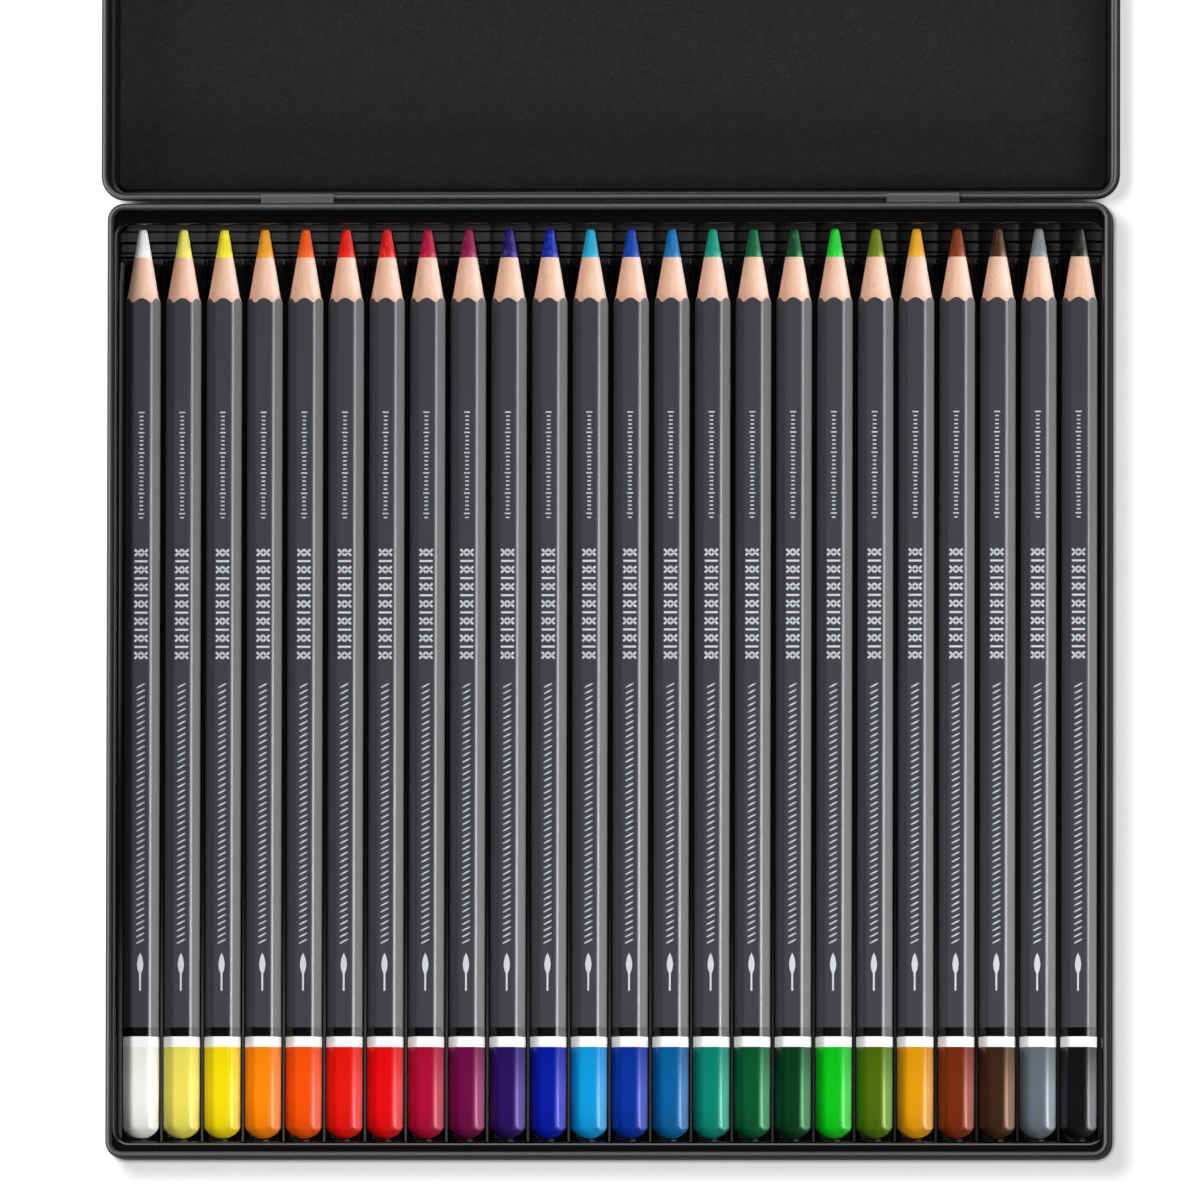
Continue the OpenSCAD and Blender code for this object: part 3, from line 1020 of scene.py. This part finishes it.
# %% Foil decoration
FOIL_THICK = 0.02 * MM
FOIL_SIT = 0.004 * MM
RULE_FROM, RULE_PITCH, RULE_TICKS = 35.4 * MM, 0.78 * MM, 27
LONG_TICK_EVERY = 5
BAND_FROM, BAND_PITCH, BAND_CROSSES = 62.4 * MM, 3.3 * MM, 7
TWIST_FROM, TWIST_PITCH, TWIST_STROKES = 88 * MM, 1.2 * MM, 42
LEAF_AT = 143 * MM
ASIDE = 0.62 * MM
CROSS_TURN, TWIST_TURN = radians(45), radians(28)


def foil_mark(bm, outline, x, y, turn=0.0):
    """One thin plate. Its outline is a list of points in millimetres, and it lies flat."""
    ring = [bm.verts.new((px * MM, py * MM, 0)) for px, py in outline]
    face = bm.faces.new(ring)
    plate = bmesh.ops.extrude_face_region(bm, geom=[face])["geom"]
    top = parts_of(plate, bmesh.types.BMVert)
    bmesh.ops.translate(bm, verts=top, vec=(0, 0, FOIL_THICK))
    place = Matrix.Translation((x, y, HALF_FLATS + FOIL_SIT)) @ Matrix.Rotation(turn, 4, "Z")
    bmesh.ops.transform(bm, verts=ring + top, matrix=place)


def bar(wide, tall):
    x, y = wide / 2, tall / 2
    return [(-x, -y), (x, -y), (x, y), (-x, y)]


def lozenge(wide, tall):
    x, y = wide / 2, tall / 2
    return [(-x, 0), (0, -y), (x, 0), (0, y)]


short_tick, long_tick = bar(0.7, 0.26), bar(1.15, 0.26)
cross_stroke, divider = bar(0.42, 1.75), bar(2.5, 0.4)
twist_stroke, dot = bar(1.75, 0.3), lozenge(0.4, 0.4)
half_leaf = [(0.18, -3.7), (0.18, -0.4), (0.5, 0.4), (0.62, 1.4), (0.42, 2.6)]
leaf = half_leaf + [(0, 3.6)] + [(-x, y) for x, y in reversed(half_leaf)]
print("points of the leaf:", len(leaf))

# %% Stamp the marks
bm = bmesh.new()
for i in range(RULE_TICKS):
    tick = short_tick if i % LONG_TICK_EVERY else long_tick
    foil_mark(bm, tick, 0, LENGTH - RULE_FROM - RULE_PITCH * i)
for i in range(BAND_CROSSES):
    y = LENGTH - BAND_FROM - BAND_PITCH * i
    for side in (-1, 1):
        for turn in (side, -side):
            foil_mark(bm, cross_stroke, side * ASIDE, y, turn * CROSS_TURN)
    if i:
        foil_mark(bm, divider, 0, y + BAND_PITCH / 2)
for i in range(TWIST_STROKES):
    y = LENGTH - TWIST_FROM - TWIST_PITCH * i
    foil_mark(bm, twist_stroke, 0, y, TWIST_TURN)
    for side in (-1, 1):
        foil_mark(bm, dot, side * ASIDE, y + side * TWIST_PITCH / 4)
foil_mark(bm, leaf, 0, LENGTH - LEAF_AT)
bmesh.ops.recalc_face_normals(bm, faces=bm.faces[:])
foil_mesh = bpy.data.meshes.new("foil")
bm.to_mesh(foil_mesh)
bm.free()
print("foil faces:", len(foil_mesh.polygons))

# %% [markdown]
# ## The row of pencils
# Each pencil gets its own copies of the four meshes, moved into its groove. They ride on the
# pencil's body, so it lifts out of the tray as one.

# %% Row
pencil_pieces = []
for i, x in enumerate(pencil_x):
    number = f"pencil_{i + 1:02d}"
    colour_slot = f"colour_{i + 1:02d}"
    groove = Matrix.Translation((x, end_y, axis_z))
    made = {}
    for part, source, slot, finishes in (
        ("body", body_mesh, "pencil_body", [anthracite, white_band, black_band, wood]),
        ("dip", dip_mesh, colour_slot, [dips[i]]),
        ("lead", core_mesh, colour_slot, [cores[i]]),
        ("foil", foil_mesh, "pencil_body", [silver]),
    ):
        mesh = source.copy()
        mesh.transform(groove)
        made[part] = place_mesh(mesh, f"{number}_{part}", number, finishes, 35)
    pencil_pieces += made.values()
    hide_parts(number + "_casing")
    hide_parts(number + "_core")
print("pencils placed:", len(pencil_x))

# %% [markdown]
# ## Floor
# The tin lies on a white table. To the camera the floor is lit a little from within, so that it is
# clean white, while reflections see plain white paint only. Lamps this wide leave hardly any dark
# line where the tin meets the table, so two ambient occlusion nodes paint that shade into the
# table's colour: a thin painted shadow line at the foot, and painted darkness that fills the deep
# slot between the lid and the tray.

# %% Floor
CONTACT_REACH = 1.3 * MM
SLOT_REACH = 9.0 * MM
# Each range is from its low and high input (1 and 2) to its low and high result (3 and 4).
FOOT_SHADOW_RANGE = {1: 0.42, 2: 0.88, 3: 0.1, 4: 1.0}
SLOT_SHADE_RANGE = {1: 0.14, 2: 0.36, 3: 0.01, 4: 1.0}
FLOOR_HALF = 20
FLOOR_DROP = 0.05 * MM
GLOW = 0.75

floor_mesh = bpy.data.meshes.new("floor")
bm = bmesh.new()
bmesh.ops.create_grid(bm, x_segments=1, y_segments=1, size=FLOOR_HALF)
bmesh.ops.translate(bm, verts=bm.verts[:], vec=(0, 0, -FLOOR_DROP))
bm.to_mesh(floor_mesh)
bm.free()
floor = bpy.data.objects.new("floor", floor_mesh)
bpy.context.scene.collection.objects.link(floor)

paper, tree, output, where = new_finish("white_table")
# Painted shade: both occlusion results darken the table's colour and its glow, as a thin shadow
# line at the tin's foot and as darkness in the slot.
contact = add(tree, "AmbientOcclusion", {"samples": 16}, {"Distance": CONTACT_REACH})
open_part = add(tree, "MapRange", inputs={0: contact.outputs["AO"], **FOOT_SHADOW_RANGE})
slot = add(tree, "AmbientOcclusion", {"samples": 16}, {"Distance": SLOT_REACH})
open_slot = add(tree, "MapRange", inputs={0: slot.outputs["AO"], **SLOT_SHADE_RANGE})
parts = {0: open_part.outputs[0], 1: open_slot.outputs[0]}
clear = add(tree, "Math", {"operation": "MULTIPLY"}, parts)
tint = add(
    tree,
    "Mix",
    {"data_type": "RGBA"},
    {0: clear.outputs[0], 6: linear("#000000"), 7: linear("#f2f2f2")},
)
paint = add(tree, "BsdfDiffuse", inputs={"Color": tint.outputs[2]})
glow = add(tree, "Emission", inputs={"Color": tint.outputs[2], "Strength": GLOW})
both = add(tree, "AddShader", inputs={0: paint.outputs[0], 1: glow.outputs[0]})
path = add(tree, "LightPath")
seen = add(
    tree,
    "Math",
    {"operation": "MAXIMUM"},
    {0: path.outputs["Is Camera Ray"], 1: path.outputs["Is Transmission Ray"]},
)
shaders = {0: seen.outputs[0], 1: paint.outputs[0], 2: both.outputs[0]}
mixed = add(tree, "MixShader", inputs=shaders)
tree.links.new(mixed.outputs[0], output.inputs[0])
floor.data.materials.append(paper)
print("floor ready")

# %% [markdown]
# ## Light
# A product shot like this is lit part by part, with flags and small reflectors. Here the same is
# done with two kinds of lamp. A colour lamp lights a surface's own colour and shows in no gloss. A
# shine lamp does the opposite: it is only a highlight, and it is linked to the few pieces that it
# is meant for. So the flats of the pencils, the curled rims and the plastic each get their own
# shine, and flat gloss black stays black. The first lamp lights the table alone and casts the
# tin's soft shadow. The tray's right rim doesn't block the light from the right, which would leave
# the last pencil grey beside its neighbours. The sky is almost dark, and white only to the camera.

# %% The lamps
# Each row: name, kind, group, degrees round and up, width, height, watts, and whether it shadows.
LIGHTS = [
    ("table", "colour", "floor", 135, 72, 0.4, 0.4, 8.2, True),
    ("soft_back_left", "colour", "object", 135, 68, 0.4, 0.4, 2.2, True),
    ("soft_left", "colour", "object", 172, 20, 0.5, 0.5, 4.4, True),
    ("soft_right", "colour", "object", -20, 40, 0.6, 0.6, 7.4, True),
    ("soft_back", "colour", "object", 88, 35, 1.0, 0.4, 1.2, True),
    ("soft_front", "colour", "object", -88, 32, 1.0, 0.4, 7.6, True),
    ("shine_right", "shine", "pencils", -8, 0, 0.5, 0.3, 29.0, False),
    ("shine_edges", "shine", "pencils", -8, 30, 0.5, 0.3, 10.5, True),
    ("rim_left", "shine", "tin", 180, 48, 1.0, 0.6, 40.0, True),
    ("rim_back", "shine", "tin", 90, 42, 1.0, 0.6, 19.0, True),
    ("rim_right", "shine", "tin", 0, 45, 1.0, 0.4, 2.0, True),
    ("gleam_right", "shine", "flange", 0, 50, 1.0, 0.8, 5.0, True),
    ("gleam_back", "shine", "flange", 90, 50, 1.0, 0.8, 9.0, True),
    ("gleam_nose", "shine", "bed", 180, 74, 0.3, 0.6, 0.8, True),
]
LAMP_DISTANCE = 1.2

# %% Which pieces a lamp is linked to
groups = {
    "floor": [floor],
    "object": [floor],
    "pencils": pencil_pieces,
    "tin": [tray, lid] + tongues,
    "flange": [flange],
    "bed": [bed],
    "not_rim": [tray, flange],
}
receivers = {}
for group, members in groups.items():
    receivers[group] = bpy.data.collections.new("lit_" + group)
    for member in members:
        receivers[group].objects.link(member)
    if group in ("object", "not_rim"):
        for item in receivers[group].collection_objects:
            item.light_linking.link_state = "EXCLUDE"
print("groups:", {group: len(members) for group, members in groups.items()})

# %% Place the lamps
for name, kind, group, around, up, wide, tall, power, shadow in LIGHTS:
    lamp = bpy.data.lights.new(name, "AREA")
    lamp.shape = "RECTANGLE"
    lamp.size, lamp.size_y = wide, tall
    lamp.energy = power
    lamp.use_shadow = shadow
    light = bpy.data.objects.new(name, lamp)
    bpy.context.scene.collection.objects.link(light)
    level = cos(radians(up))
    towards = Vector((cos(radians(around)) * level, sin(radians(around)) * level, sin(radians(up))))
    light.location = towards * LAMP_DISTANCE
    light.rotation_euler = towards.to_track_quat("Z", "Y").to_euler()
    light.visible_camera = False
    light.visible_glossy = kind == "shine"
    light.visible_diffuse = kind == "colour"
    light.light_linking.receiver_collection = receivers[group]
    if name == "soft_right":
        light.light_linking.blocker_collection = receivers["not_rim"]
    print(name, "at", [round(v, 2) for v in light.location])

# %% Sky
SKY_LEVEL = 0.03

sky = bpy.data.worlds.new("studio")
bpy.context.scene.world = sky
sky.use_nodes = True
tree = sky.node_tree
tree.nodes.clear()
output = add(tree, "OutputWorld")
path = add(tree, "LightPath")
dim = add(tree, "Background", inputs={"Color": linear("#ffffff"), "Strength": SKY_LEVEL})
white = add(tree, "Background", inputs={"Color": linear("#ffffff"), "Strength": 1.0})
skies = {0: path.outputs["Is Camera Ray"], 1: dim.outputs[0], 2: white.outputs[0]}
shown = add(tree, "MixShader", inputs=skies)
tree.links.new(shown.outputs[0], output.inputs[0])
bpy.context.scene.view_settings.view_transform = "Standard"
print("sky ready")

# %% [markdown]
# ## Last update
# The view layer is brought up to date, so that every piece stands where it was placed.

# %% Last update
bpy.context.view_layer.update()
